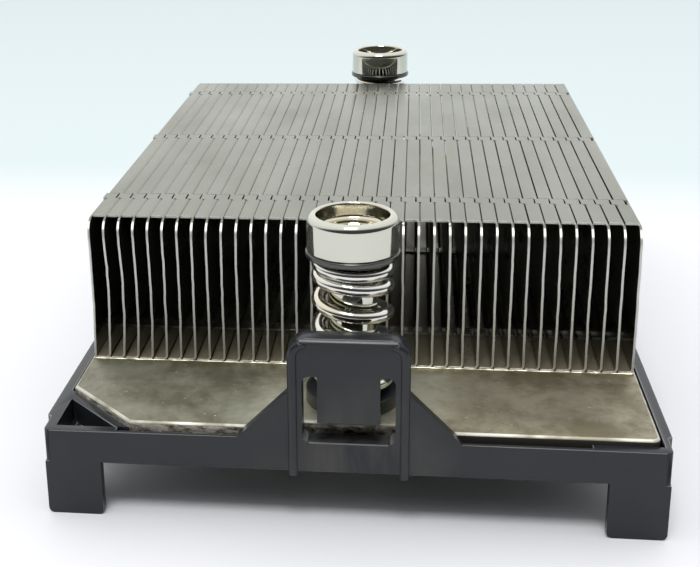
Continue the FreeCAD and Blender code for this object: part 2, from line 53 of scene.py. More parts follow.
# ------------------------------------------------------------------------------------------------ base plate
# The copper base, nickel plated all over. It is sawn and milled, with a small bevel round its top face.
# Flux and heat have left the plating cloudy and brown in places, and the sawn sides are torn and crusted.
# Painted shade darkens it towards both sides and on its underside, and a painted highlight runs along the
# top bevel.


def new_finish(name, colour, metallic, roughness):
    """A material with its own Principled shader, and the node tree to add to."""
    finish = bpy.data.materials.new(name)
    finish.use_nodes = True
    shader = finish.node_tree.nodes["Principled BSDF"]
    shader.inputs["Base Color"].default_value = (*colour, 1)
    shader.inputs["Metallic"].default_value = metallic
    shader.inputs["Roughness"].default_value = roughness
    return finish, finish.node_tree, shader


def object_place(tree, scale=(1, 1, 1), shift=(0, 0, 0), turn=(0, 0, 0)):
    """Object coordinates, stretched, moved and turned."""
    source = tree.nodes.new("ShaderNodeTexCoord")
    mapping = tree.nodes.new("ShaderNodeMapping")
    mapping.inputs["Scale"].default_value = scale
    mapping.inputs["Location"].default_value = shift
    mapping.inputs["Rotation"].default_value = turn
    tree.links.new(source.outputs["Object"], mapping.inputs["Vector"])
    return mapping.outputs["Vector"]


def cloud(tree, place, scale, detail=4.0, rough=0.55, warp=0.0):
    """Cloudy values between 0 and 1, finer with a larger scale."""
    texture = tree.nodes.new("ShaderNodeTexNoise")
    texture.inputs["Scale"].default_value = scale
    texture.inputs["Detail"].default_value = detail
    texture.inputs["Roughness"].default_value = rough
    texture.inputs["Distortion"].default_value = warp
    tree.links.new(place, texture.inputs["Vector"])
    return texture.outputs["Fac"]


def ramp(tree, factor, stops):
    """A colour ramp from (position, colour) stops; a plain number stands for a grey."""
    node = tree.nodes.new("ShaderNodeValToRGB")
    elements = node.color_ramp.elements
    while len(elements) < len(stops):
        elements.new(0.5)
    for element, (position, colour) in zip(elements, stops):
        element.position = position
        element.color = (colour, colour, colour, 1) if isinstance(colour, (int, float)) else (*colour, 1)
    tree.links.new(factor, node.inputs["Fac"])
    return node.outputs["Color"]


def blend_colour(tree, factor, one, other, kind="MIX"):
    """Two colours mixed by a factor; each of the three is a socket or a plain value."""
    node = tree.nodes.new("ShaderNodeMix")
    node.data_type = "RGBA"
    node.blend_type = kind
    for socket, value in ((node.inputs[0], factor), (node.inputs[6], one), (node.inputs[7], other)):
        if isinstance(value, bpy.types.NodeSocket):
            tree.links.new(value, socket)
        elif isinstance(value, (int, float)):
            socket.default_value = value
        else:
            socket.default_value = (*value, 1)
    return node.outputs[2]


def bump(tree, shader, height, strength, distance):
    node = tree.nodes.new("ShaderNodeBump")
    node.inputs["Strength"].default_value = strength
    node.inputs["Distance"].default_value = distance
    tree.links.new(height, node.inputs["Height"])
    tree.links.new(node.outputs["Normal"], shader.inputs["Normal"])


def choose(piece):
    """Selects one piece and nothing else."""
    for other in bpy.context.selected_objects:
        other.select_set(False)
    piece.select_set(True)
    bpy.context.view_layer.objects.active = piece


def apply_modifiers(piece):
    choose(piece)
    for modifier in list(piece.modifiers):
        bpy.ops.object.modifier_apply(modifier=modifier.name)


SAME_POINT = 0.002 * MM
SAME_FACE = math.radians(1)


def merged_copy(node_name, piece_name):
    """A copy of a CAD node with its corners joined and its flat faces whole, ready to be detailed."""
    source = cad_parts[node_name]
    piece = bpy.data.objects.new(piece_name, source.data.copy())
    bpy.context.scene.collection.objects.link(piece)
    piece.data.materials.clear()
    choose(piece)
    bpy.ops.object.mode_set(mode="EDIT")
    bpy.ops.mesh.select_all(action="SELECT")
    bpy.ops.mesh.remove_doubles(threshold=SAME_POINT)
    bpy.ops.mesh.dissolve_limited(angle_limit=SAME_FACE)
    bpy.ops.object.mode_set(mode="OBJECT")
    return piece


def round_edges(piece, width, segments=2, angle=30):
    """Bevels the edges that are sharper than the angle, and shades what is flatter smoothly."""
    modifier = piece.modifiers.new("edges", "BEVEL")
    modifier.width = width
    modifier.segments = segments
    modifier.limit_method = "ANGLE"
    modifier.angle_limit = math.radians(angle)
    apply_modifiers(piece)
    choose(piece)
    bpy.ops.object.shade_smooth_by_angle(angle=math.radians(angle))


def settle(piece, body, slot, finish, *nodes):
    """Gives a finished piece its material and body, and hides the CAD nodes that it stands for. The slot is
    not used.
    """
    piece.data.materials.clear()
    piece.data.materials.append(finish)
    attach(piece, body)
    if nodes:
        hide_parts(*nodes)


def attribute(tree, name):
    """A value kept on the faces of a mesh."""
    node = tree.nodes.new("ShaderNodeAttribute")
    node.attribute_name = name
    return node.outputs["Fac"]


def axis_of(tree, place, axis):
    """One coordinate of a place."""
    node = tree.nodes.new("ShaderNodeSeparateXYZ")
    tree.links.new(place, node.inputs["Vector"])
    return node.outputs[axis]


def between(tree, value, low, high):
    """0 at low, 1 at high and a straight run between them, flat beyond both. Low may be above high."""
    node = tree.nodes.new("ShaderNodeMapRange")
    node.inputs["From Min"].default_value = low
    node.inputs["From Max"].default_value = high
    tree.links.new(value, node.inputs["Value"])
    return node.outputs["Result"]


def mark_faces(piece, name, value_of):
    """Keeps a value on each face of a finished mesh, for its material."""
    kept = piece.data.attributes.new(name, "FLOAT", "FACE")
    for face in piece.data.polygons:
        kept.data[face.index].value = value_of(face)


PLATE_CLEAN = (0.53, 0.525, 0.43)
PLATE_HAZE = (0.42, 0.41, 0.325)       # where clean plating goes over into a stain
PLATE_STAIN = (0.26, 0.245, 0.175)
PLATE_SPECK = (0.72, 0.70, 0.66)       # fine dark speckle, multiplied in
PLATE_BRIGHT = (0.62, 0.60, 0.52)      # bare metal in small flecks; also the painted highlight along the top bevel
PLATE_DULL = (0.30, 0.28, 0.21)        # dull breaks in that painted highlight
# painted shade: the underside is coloured dark, to deepen the shade under the frame
PLATE_UNDER_SHADE = (0.12, 0.117, 0.10)
FLUX_TINT = (0.78, 0.74, 0.52)         # flux baked on at the fins' feet and behind, multiplied in
FLUX_FADE = 2.2 * MM                   # it starts this far in front of the fins
WHITE = (1, 1, 1)
# Painted shade, multiplied in from side to side: darker and greyer at the left, clean either side of the
# tower, darker and browner at the right.
SIDE_SHADE_TINTS = [(0.12, (0.50, 0.50, 0.47)), (0.34, (0.63, 0.64, 0.61)), (0.375, (1, 0.99, 0.96)),
              (0.63, (1, 0.97, 0.92)), (0.665, (0.76, 0.71, 0.645))]
SIDE_REACH = 38.0 * MM                 # this painted side shade runs this far to each side of the middle
SAWN_PIT = (0.035, 0.03, 0.02)
SAWN_COPPER = (0.28, 0.25, 0.19)
SAWN_BRIGHT = (0.70, 0.67, 0.58)
SAWN_CRUST = (0.05, 0.045, 0.035)      # dark crust on the sawn sides, right of the tower
CRUST_START = 6.0 * MM
CRUST_FULL = 12.0 * MM
EDGE_WORN = 0.04 * MM
LEAST_UPWARD = 0.25                    # a sawn side's normal rises or falls less than this
MOST_UPWARD = 0.95                     # the top face's normal rises more than this
DOWNWARD = -0.9

plate_finish, tree, shader = new_finish("clouded_nickel", PLATE_CLEAN, 0.65, 0.4)
place = object_place(tree)
patches = cloud(tree, place, 75.0, detail=5.0, rough=0.68, warp=0.12)
fine = cloud(tree, place, 420.0, detail=3.0, rough=0.6)
stained = ramp(tree, patches, [(0.40, PLATE_STAIN), (0.50, PLATE_HAZE), (0.60, PLATE_CLEAN)])
speckled = ramp(tree, fine, [(0.30, PLATE_SPECK), (0.48, WHITE)])
across = axis_of(tree, place, "X")
# painted shade: the plate is coloured darker towards its left and right sides
side_shade = ramp(tree, between(tree, across, -SIDE_REACH, SIDE_REACH), SIDE_SHADE_TINTS)
clouded = blend_colour(tree, 0.7, stained, speckled, "MULTIPLY")
mottled_and_side_shaded = blend_colour(tree, 1.0, clouded, side_shade, "MULTIPLY")
flecks = ramp(tree, cloud(tree, place, 1900.0, detail=2.0, rough=0.5), [(0.71, 0.0), (0.76, 0.8)])
flecked = blend_colour(tree, flecks, mottled_and_side_shaded, PLATE_BRIGHT)
stack_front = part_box("fin_02")[0].y
beside = between(tree, axis_of(tree, place, "Y"), stack_front - FLUX_FADE, stack_front)
fluxed = blend_colour(tree, beside, flecked, blend_colour(tree, 1.0, flecked, FLUX_TINT, "MULTIPLY"))
torn = cloud(tree, object_place(tree, (1.0, 1.0, 2.5)), 620.0, detail=5.0, rough=0.75, warp=0.4)
bare = ramp(tree, torn, [(0.36, SAWN_PIT), (0.47, SAWN_COPPER), (0.60, SAWN_BRIGHT)])
# painted shade on the faces that look down
underside_shaded = blend_colour(tree, attribute(tree, "under"), fluxed, PLATE_UNDER_SHADE)
crusted = blend_colour(tree, between(tree, across, CRUST_START, CRUST_FULL), bare, SAWN_CRUST)
sawn = blend_colour(tree, attribute(tree, "sawn"), underside_shaded, crusted)
# painted highlight along the upward-facing bevel of the top face, broken by dull stretches
edge_highlight_breaks = cloud(tree, place, 150.0, detail=3.0, rough=0.6)
edge_highlight = ramp(tree, edge_highlight_breaks, [(0.42, PLATE_DULL), (0.56, PLATE_BRIGHT)])
coloured = blend_colour(tree, attribute(tree, "polish_and_highlight"), sawn, edge_highlight)
tree.links.new(coloured, shader.inputs["Base Color"])
tree.links.new(ramp(tree, patches, [(0.3, 0.55), (0.7, 0.42)]), shader.inputs["Roughness"])
pitted = blend_colour(tree, attribute(tree, "sawn"), fine, torn)
bump(tree, shader, pitted, strength=0.35, distance=0.1 * MM)

plate = merged_copy("base_plate", "nickel_plate")
round_edges(plate, EDGE_WORN, 1)
mark_faces(plate, "polish_and_highlight", lambda face: 1.0 if LEAST_UPWARD < face.normal.z < MOST_UPWARD else 0.0)
mark_faces(plate, "sawn", lambda face: 1.0 if abs(face.normal.z) < LEAST_UPWARD else 0.0)
mark_faces(plate, "under", lambda face: 1.0 if face.normal.z < DOWNWARD else 0.0)
settle(plate, "heatsink", "plate_nickel", plate_finish, "base_plate")

# ------------------------------------------------------------------------------------------------ frame
# The black frame: glass-filled plastic, moulded in one piece, that clips under and over the plate.
# Its upper edges are slightly rounded and rubbed shiny, with a painted highlight on them, and its satin skin
# has a fine grain.

PLASTIC = (0.016, 0.018, 0.021)
PLASTIC_DEEP = (0.010, 0.012, 0.015)
PLASTIC_PALE = (0.018, 0.021, 0.024)
PLASTIC_DUST = (0.058, 0.057, 0.050)
# painted highlight along the rounded upper edges
PLASTIC_EDGE_HIGHLIGHT = (0.15, 0.155, 0.16)
PLASTIC_SHINE = 0.4                    # its skin reflects a little less than most plastic
RUBBED_ROUGH = (0.2, 0.2, 0.2)
TOWER_BASE = (0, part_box("frame")[0].y, 6.0 * MM)
DUSTY_TO = 5.0 * MM                    # dust lies this far round the front tower's foot
CLEAN_FROM = 13.0 * MM


def distance_from(tree, place, point):
    """How far a place is from one point."""
    node = tree.nodes.new("ShaderNodeVectorMath")
    node.operation = "DISTANCE"
    node.inputs[1].default_value = point
    tree.links.new(place, node.inputs[0])
    return node.outputs["Value"]


plastic, tree, shader = new_finish("black_plastic", PLASTIC, 0.0, 0.3)
place = object_place(tree)
grain = cloud(tree, place, 2600.0, detail=3.0, rough=0.6)
worn = cloud(tree, place, 90.0, detail=4.0, rough=0.6)
dusty = cloud(tree, object_place(tree, (1.0, 1.0, 0.6)), 75.0, detail=5.0, rough=0.65, warp=0.5)
skin = ramp(tree, worn, [(0.35, PLASTIC_DEEP), (0.7, PLASTIC_PALE)])
far = between(tree, distance_from(tree, place, TOWER_BASE), DUSTY_TO, CLEAN_FROM)
dusted = blend_colour(tree, far, ramp(tree, dusty, [(0.42, 0.0), (0.62, 1.0)]), (0, 0, 0))
dust = blend_colour(tree, dusted, skin, PLASTIC_DUST)
polish_and_highlight = attribute(tree, "polish_and_highlight")
# painted highlight: the polished strips of the upper edges are coloured lighter
tree.links.new(blend_colour(tree, polish_and_highlight, dust, PLASTIC_EDGE_HIGHLIGHT), shader.inputs["Base Color"])
shader.inputs["Specular IOR Level"].default_value = PLASTIC_SHINE
satin = ramp(tree, worn, [(0.3, 0.27), (0.7, 0.36)])
tree.links.new(blend_colour(tree, polish_and_highlight, satin, RUBBED_ROUGH), shader.inputs["Roughness"])
bump(tree, shader, grain, strength=0.12, distance=0.03 * MM)

MOULD_ROUND = 0.12 * MM
SHARP = math.radians(30)
PINCHED = math.radians(50)
LEVEL_FACE = 0.9                       # the normal of a level top face rises more than this
STEEP_FACE = 0.5                       # that of a wall below it rises or falls less than this


def round_moulding(piece):
    """Bevels the upper edges, but not where two meet in a sharp point, because a bevel folds over there."""
    choose(piece)
    bpy.ops.object.mode_set(mode="EDIT")
    bpy.ops.mesh.select_mode(type="EDGE")
    bpy.ops.mesh.select_all(action="DESELECT")
    shape = bmesh.from_edit_mesh(piece.data)
    for edge in shape.edges:
        lower, upper = sorted(face.normal.z for face in edge.link_faces)
        if edge.calc_face_angle_signed() > SHARP and upper > LEVEL_FACE and abs(lower) < STEEP_FACE:
            edge.select_set(True)
    pinched = []
    for corner in shape.verts:
        ends = [(edge, edge.other_vert(corner).co - corner.co) for edge in corner.link_edges if edge.select]
        for (one, along), (other, away) in itertools.combinations(ends, 2):
            if along.angle(away) < PINCHED:
                pinched.append(min(one, other, key=lambda edge: edge.calc_length()))
    for edge in pinched:
        edge.select_set(False)
    bmesh.update_edit_mesh(piece.data)
    bpy.ops.mesh.bevel(offset=MOULD_ROUND, segments=2, affect="EDGES", clamp_overlap=False)
    bpy.ops.object.mode_set(mode="OBJECT")
    bpy.ops.object.shade_smooth_by_angle(angle=SHARP)


UPWARD = 0.2                           # a strip with the painted highlight has a normal rising more than this
FLAT = 0.97                            # and less than this
LEVEL_SLOPE = 0.2


def is_polished_highlight_strip(face):
    """A level strip of a rounded edge that looks upward: polished, and painted lighter as a highlight."""
    corners = [moulding.data.vertices[index].co for index in face.vertices]
    runs = [one - other for one, other in itertools.combinations(corners, 2)]
    along = max(runs, key=lambda run: run.length)
    level = abs(along.z) < LEVEL_SLOPE * along.length
    narrow = face.area < MOULD_ROUND * along.length
    return 1.0 if level and narrow and UPWARD < face.normal.z < FLAT else 0.0


moulding = merged_copy("frame", "frame_moulding")
round_moulding(moulding)

# A thin wall closes the slit between the floor and the slanting wall of the open corner pocket.
POCKET_SILL = (-31.78 * MM, -55.05 * MM, 8.17 * MM)
POCKET_SILL_SIZE = (3.3 * MM, 0.2 * MM, 0.65 * MM)

bpy.ops.mesh.primitive_cube_add(size=1, location=POCKET_SILL, rotation=(0, 0, -math.pi / 4))
sill = bpy.context.object
sill.scale = POCKET_SILL_SIZE
choose(sill)
bpy.ops.object.transform_apply(location=True, rotation=True, scale=True)
moulding.select_set(True)
bpy.context.view_layer.objects.active = moulding
bpy.ops.object.join()
mark_faces(moulding, "polish_and_highlight", is_polished_highlight_strip)
settle(moulding, "heatsink", "black_plastic", plastic, "frame")

# The half-round ribs of a tower meet over its crown in a bead, whose upper half carries the painted edge
# highlight.
BEAD_RADIUS = 0.24 * MM
BEAD_SINK = 0.04 * MM                  # its axis behind the tower's face
BEAD_DROP = 0.25 * MM                  # its axis below the top of the tower
BEAD_LONG = 10.8 * MM
BEAD_ROUND = 0.2 * MM                  # rounding of its ends
TINY = 0.01 * MM

mould_low, mould_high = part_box("frame")
bpy.ops.mesh.primitive_cylinder_add(vertices=24, radius=BEAD_RADIUS, depth=BEAD_LONG,
                                    location=(0, mould_low.y + BEAD_SINK, mould_high.z - BEAD_DROP),
                                    rotation=(0, math.pi / 2, 0))
front_bead = bpy.context.object
front_bead.name = "front_tower_bead"
choose(front_bead)
bpy.ops.object.transform_apply(location=True, rotation=True, scale=True)
bpy.ops.object.mode_set(mode="EDIT")
bpy.ops.mesh.select_all(action="SELECT")
bpy.ops.mesh.bisect(plane_co=(0, 0, 0), plane_no=(1, 0, 0), threshold=0.1 * TINY)
bpy.ops.object.mode_set(mode="OBJECT")
round_edges(front_bead, BEAD_ROUND, 4)
rear_bead = front_bead.copy()
rear_bead.data = front_bead.data.copy()
rear_bead.name = "rear_tower_bead"
bpy.context.scene.collection.objects.link(rear_bead)
choose(rear_bead)
bpy.ops.object.mode_set(mode="EDIT")
bpy.ops.mesh.select_all(action="SELECT")
bpy.ops.transform.rotate(value=math.pi, orient_axis="Z", center_override=(0, 0, 0))
bpy.ops.object.mode_set(mode="OBJECT")
for bead in (front_bead, rear_bead):
    # painted highlight on the bead's upward faces
    mark_faces(bead, "polish_and_highlight", lambda face: 1.0 if face.normal.z > UPWARD else 0.0)
    settle(bead, "heatsink", "black_plastic", plastic)

# ------------------------------------------------------------------------------------------------ fins
# 37 nickel-plated aluminium sheets, each folded to a flange at its top and foot. Tabs on a flange hook over
# the next sheet, which holds the stack together before it is soldered down on the plate.

FIN_DARK = (0.19, 0.197, 0.148)
FIN_LIGHT = (0.262, 0.269, 0.218)
FIN_TONE = (0.252, 0.257, 0.222)       # each sheet leans towards this by a share of its own
FIN_CUT_AND_GLINT = (0.66, 0.66, 0.61)           # sheared edges, brighter than the rolled faces; also a painted glint on the foot hooks' slopes
FIN_FLUX = (0.27, 0.235, 0.16)         # brown flux left round the feet
FLUX_FULL = 0.3 * MM                   # flux covers a foot up to here
FLUX_TOP = 1.6 * MM                    # and ends here
MIRROR_FULL = 3.0 * MM                 # a web is mirror bright up to here
MIRROR_TOP = 6.0 * MM                  # and as dull as a flange from here
MIRROR_ROUGH = (0.09, 0.09, 0.09)
CUT_ROUGH = (0.5, 0.5, 0.5)
FLUXED_CUT_ROUGH = (0.25, 0.25, 0.25)

nickel, tree, shader = new_finish("fin_nickel", FIN_LIGHT, 1.0, 0.3)
up = axis_of(tree, object_place(tree), "Z")
haze = cloud(tree, object_place(tree, (1.0, 0.35, 1.0)), 130.0, detail=4.0, rough=0.6)
sheet = blend_colour(tree, ramp(tree, haze, [(0.3, 0.0), (0.7, 1.0)]), FIN_DARK, FIN_LIGHT)
toned = blend_colour(tree, attribute(tree, "tone"), sheet, FIN_TONE)
foot_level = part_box("fin_02")[0].z
web = attribute(tree, "web")
cut_and_glint = attribute(tree, "cut_and_glint")
risen = between(tree, up, foot_level + FLUX_FULL, foot_level + FLUX_TOP)
clear = blend_colour(tree, web, risen, WHITE)
fluxed = blend_colour(tree, clear, FIN_FLUX, toned)
# the sheared edges, and a painted glint on the sloped faces of the foot hooks
tree.links.new(blend_colour(tree, cut_and_glint, fluxed, FIN_CUT_AND_GLINT), shader.inputs["Base Color"])
tree.links.new(between(tree, clear, -0.5, 1.0), shader.inputs["Metallic"])
flange = ramp(tree, haze, [(0.3, 0.33), (0.7, 0.25)])
low_down = between(tree, up, foot_level + MIRROR_TOP, foot_level + MIRROR_FULL)
mirror = blend_colour(tree, web, (0, 0, 0), low_down)
rolled = blend_colour(tree, mirror, flange, MIRROR_ROUGH)
sheared = blend_colour(tree, risen, FLUXED_CUT_ROUGH, CUT_ROUGH)
tree.links.new(blend_colour(tree, cut_and_glint, rolled, sheared), shader.inputs["Roughness"])

FIN_SHEET = 0.28 * MM
FIN_GAP = 0.05 * MM                    # a flange's edge to the next sheet
FIN_CORNER = 2.3 * MM
FIN_FOLD = 0.5 * MM
HOOK_ROWS = (-32.2 * MM, 0.0, 32.2 * MM)
HOOK_HALF = 1.0 * MM
HOOK_REACH = 0.5 * MM
HOOK_FIT = 0.08 * MM
HOOK_TIP = 0.14 * MM                   # open seam at the tip of a hook
FOOT_LIFT = 0.22 * MM                  # a foot hook rides up on the next sheet
SLIT = 0.2 * MM                        # relief cut beside a hook
PIP_ROWS = (-16.1 * MM, 16.1 * MM)
PIP = 0.22 * MM                        # small stamped nick in a flange's edge
EDGE_LEVELS = 18                       # cuts up a fin's front and rear edges, which handling has bent
BENT_DEPTH = 9.0 * MM
SEAM_CUTS = 14                         # cuts along a flange, whose free edge isn't quite straight
BOWED = {1: 0.16, 2: 0.34, 3: 0.32, 4: 0.28, 5: 0.24, 6: 0.18, 7: 0.12, 8: 0.06}   # mm, by fin number
DRIFT = 0.09 * MM                      # how far a web leans near its ends
SEAM_WANDER = 0.05 * MM
NICK = 0.05                            # mm, sideways
NICK_DEEP = 0.05 * MM                  # into the edge
FIN_EDGE = 0.04 * MM                   # the sheared edges' bevel
CUT_AND_GLINT_NORMAL = 0.55
WEB_NORMAL = 0.9

FIN_NODES = sorted(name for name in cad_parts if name.startswith("fin_"))
fin_low, fin_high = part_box("fin_02")
fin_pitch = fin_high.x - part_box("fin_01")[1].x
fin_end = fin_high.y
fin_foot = fin_low.z + FIN_SHEET / 2
fin_top = fin_high.z - FIN_SHEET / 2


def select_where(piece, kind, test):
    """In edit mode, selects only the vertices, edges or faces whose corners all pass the test."""
    bpy.ops.mesh.select_mode(type=kind)
    bpy.ops.mesh.select_all(action="DESELECT")
    shape = bmesh.from_edit_mesh(piece.data)
    for item in {"VERT": shape.verts, "EDGE": shape.edges, "FACE": shape.faces}[kind]:
        corners = [item] if kind == "VERT" else item.verts
        if all(test(corner.co) for corner in corners):
            item.select_set(True)
    bmesh.update_edit_mesh(piece.data)


def cut_all(place, normal):
    """In edit mode, cuts the whole mesh along a plane and keeps both sides."""
    bpy.ops.mesh.select_mode(type="VERT")
    bpy.ops.mesh.select_all(action="SELECT")
    bpy.ops.mesh.bisect(plane_co=place, plane_no=normal, threshold=0.1 * TINY)


def edge_levels():
    return [fin_foot + (fin_top - fin_foot) * step / EDGE_LEVELS for step in range(1, EDGE_LEVELS)]


def fold_fin(name, flanged):
    """One sheet with its web at x = 0 and its flanges, hooks and notches."""
    reach = fin_pitch - FIN_GAP - FIN_SHEET / 2
    bpy.ops.mesh.primitive_plane_add(size=1, location=(0, 0, (fin_foot + fin_top) / 2),
                                     rotation=(0, math.pi / 2, 0))
    fin = bpy.context.object
    fin.name = name
    fin.scale = (fin_top - fin_foot, 2 * fin_end, 1)
    choose(fin)
    bpy.ops.object.transform_apply(location=True, rotation=True, scale=True)
    bpy.ops.object.mode_set(mode="EDIT")
    select_where(fin, "VERT", lambda p: p.z > fin_top - TINY)
    bpy.ops.mesh.bevel(offset=FIN_CORNER, segments=6, affect="VERTICES")
    if flanged:
        for level in (fin_top, fin_foot):
            select_where(fin, "EDGE", lambda p: abs(p.z - level) < TINY)
            bpy.ops.mesh.extrude_region_move(TRANSFORM_OT_translate={"value": (-reach, 0, 0)})
            select_where(fin, "EDGE", lambda p: abs(p.z - level) < TINY and abs(p.x) < TINY)
            bpy.ops.mesh.bevel(offset=FIN_FOLD, segments=3, affect="EDGES")
    for end in (-1, 1):
        cut_all((0, end * (fin_end - BENT_DEPTH / 3), 0), (0, 1, 0))
        cut_all((0, end * (fin_end - BENT_DEPTH), 0), (0, 1, 0))
        cut_all((0, end * (fin_end - 2 * BENT_DEPTH), 0), (0, 1, 0))
    for level in edge_levels():
        cut_all((0, 0, level), (0, 0, 1))
    for step in range(1, SEAM_CUTS):
        cut_all((0, fin_end * (2 * step / SEAM_CUTS - 1), 0), (0, 1, 0))
    notch_x = FIN_SHEET / 2 - HOOK_REACH - HOOK_TIP
    cut_all((notch_x, 0, 0), (1, 0, 0))
    for row in HOOK_ROWS:
        for y in (row - HOOK_HALF - SLIT, row - HOOK_HALF - HOOK_FIT, row - HOOK_HALF, row + HOOK_HALF,
                  row + HOOK_HALF + HOOK_FIT, row + HOOK_HALF + SLIT):
            cut_all((0, y, 0), (0, 1, 0))
        low, high = row - HOOK_HALF - HOOK_FIT - TINY, row + HOOK_HALF + HOOK_FIT + TINY
        for level, side in ((fin_top, -1), (fin_foot, 1)):
            select_where(fin, "FACE", lambda p: low < p.y < high and p.x > notch_x - TINY
                         and side * (p.z - level) < FIN_FOLD + TINY)
            bpy.ops.mesh.delete(type="FACE")
        if flanged:
            low, high = row - HOOK_HALF - TINY, row + HOOK_HALF + TINY
            for level in (fin_top, fin_foot):
                select_where(fin, "EDGE", lambda p: low < p.y < high and p.x < TINY - reach
                             and abs(p.z - level) < TINY)
                bpy.ops.mesh.extrude_region_move(TRANSFORM_OT_translate={"value": (-HOOK_REACH, 0, 0)})
            for level, low, high in ((fin_top, row + HOOK_HALF - TINY, row + HOOK_HALF + SLIT + TINY),
                                     (fin_foot, row - HOOK_HALF - SLIT - TINY, row - HOOK_HALF + TINY)):
                select_where(fin, "FACE", lambda p: low < p.y < high and p.x < notch_x + TINY
                             and abs(p.z - level) < TINY)
                bpy.ops.mesh.delete(type="FACE")
    if flanged:
        cut_all((PIP - reach, 0, 0), (1, 0, 0))
        for row in PIP_ROWS + tuple(row - HOOK_HALF - 2 * PIP for row in HOOK_ROWS):
            cut_all((0, row - PIP / 2, 0), (0, 1, 0))
            cut_all((0, row + PIP / 2, 0), (0, 1, 0))
            low, high = row - PIP / 2 - TINY, row + PIP / 2 + TINY
            select_where(fin, "FACE", lambda p: low < p.y < high and p.x < PIP - reach + TINY
                         and p.z > fin_top - TINY)
            bpy.ops.mesh.delete(type="FACE")
    bpy.ops.object.mode_set(mode="OBJECT")
    thick = fin.modifiers.new("sheet", "SOLIDIFY")
    thick.thickness = FIN_SHEET
    thick.offset = 0
    apply_modifiers(fin)
    return fin


def bend_fin(fin, number, place):
    """Moves a copy to its place and bends it as handling has: a bow near the front and small nicks.

    The number in the first place of each noise sets one sheet apart from the next.
    """
    bow = BOWED.get(number, 0.0) * MM
    for corner in fin.data.vertices:
        p = corner.co
        up = (p.z - fin_foot) / (fin_top - fin_foot)
        belly = math.sin(math.pi * min(max(up, 0), 1))
        depth = fin_end - abs(p.y)
        near_end = max(0.0, 1 - depth / (2 * BENT_DEPTH))
        lean = bow * belly * near_end if p.y < 0 else 0.0
        drift = DRIFT * belly * near_end * noise.noise((number * 3.7, p.y * 40, up * 1.5))
        if p.z < fin_foot + FIN_SHEET and p.x < -FIN_FOLD:
            beyond = min(abs(p.y - row) for row in HOOK_ROWS) - HOOK_HALF
            p.z += FOOT_LIFT * min(max(1 - beyond / SLIT, 0), 1)
        if up > 0.9 and p.x < FIN_SHEET - fin_pitch / 2:
            p.x += SEAM_WANDER * noise.noise((number * 1.9, p.y * 50, 4.5))
        edge = 1.0 if depth < FIN_SHEET else 0.0
        nick = noise.noise((number * 5.3, up * 9, 1.5 if p.y < 0 else 7.5))
        sharp = noise.noise((number * 2.1, up * 23, 3.5 if p.y < 0 else 5.5))
        p.x += place + lean + drift + edge * belly * (NICK * nick + NICK * sharp) * MM
        if edge and belly > 0.2:
            p.y -= math.copysign(NICK_DEEP * (1 + sharp), p.y)


plain_fin = fold_fin("plain_fin", False)
folded_fin = fold_fin("folded_fin", True)
for number, node in enumerate(FIN_NODES, start=1):
    pattern = folded_fin if number > 1 else plain_fin
    fin = bpy.data.objects.new(f"sheet_{number:02d}", pattern.data.copy())
    bpy.context.scene.collection.objects.link(fin)
    bend_fin(fin, number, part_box(node)[1].x - FIN_SHEET / 2)
    round_edges(fin, FIN_EDGE, 1, 40)
    # marks the sheared edges, and the foot hooks' slopes for a painted glint
    mark_faces(fin, "cut_and_glint", lambda face: 1.0 if abs(face.normal.y) > CUT_AND_GLINT_NORMAL else 0.0)
    mark_faces(fin, "web", lambda face: 1.0 if abs(face.normal.x) > WEB_NORMAL else 0.0)
    mark_faces(fin, "tone", lambda face: 0.5 + 0.5 * noise.noise((number * 4.1, 0.5, 0.5)))
    settle(fin, "heatsink", "fin_nickel", nickel, node)
for pattern in (plain_fin, folded_fin):
    bpy.data.objects.remove(pattern)

# The stack's foot is soldered to the plate. A thin bright bead has run out along its front and rear.
SOLDER = (0.60, 0.575, 0.46)
SOLDER_BEAD = 0.16 * MM
SOLDER_PUSHED = 0.08                   # mm that it has run out
SOLDER_SWELL = 0.12                    # mm more or less along its length
SOLDER_SUNK = 0.05 * MM                # into the plate
CUTS_PER_FIN = 6

solder, tree, shader = new_finish("solder", SOLDER, 1.0, 0.3)
stack_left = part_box(FIN_NODES[0])[0].x
stack_right = fin_high.x + fin_pitch * (len(FIN_NODES) - 2)
for end, side in (("front", -1), ("rear", 1)):
    bpy.ops.mesh.primitive_cylinder_add(vertices=8, radius=SOLDER_BEAD, depth=stack_right - stack_left,
                                        location=((stack_left + stack_right) / 2, side * fin_end, fin_low.z),
                                        rotation=(0, math.pi / 2, 0))
    bead = bpy.context.object
    bead.name = f"{end}_solder_bead"
    choose(bead)
    bpy.ops.object.transform_apply(location=True, rotation=True, scale=True)
    bpy.ops.object.mode_set(mode="EDIT")
    for step in range(1, CUTS_PER_FIN * len(FIN_NODES)):
        cut_all((stack_left + fin_pitch * step / CUTS_PER_FIN, 0, 0), (1, 0, 0))
    bpy.ops.object.mode_set(mode="OBJECT")
    for corner in bead.data.vertices:
        p = corner.co
        swell = noise.noise((p.x * 700, side * 3.0, 0.5))
        ripple = noise.noise((p.x * 2600, side * 5.0, 2.5))
        middle = Vector((p.x, side * fin_end, fin_low.z))
        p.xyz = middle + (p - middle) * (1.0 + 0.8 * swell + 0.5 * ripple)
        p.y += side * (SOLDER_SWELL * swell + SOLDER_PUSHED) * MM
        p.z = max(p.z, fin_low.z - SOLDER_SUNK)
    choose(bead)
    bpy.ops.object.shade_smooth()
    settle(bead, "heatsink", "fin_nickel", solder)

# ------------------------------------------------------------------------------------------------ screws
# Two captive screws, turned from steel and plated bright. Each has a dished head with a drive socket, a flat
# washer, a left-hand spring that stands in a black cup, and a ring that keeps the screw in the plate.

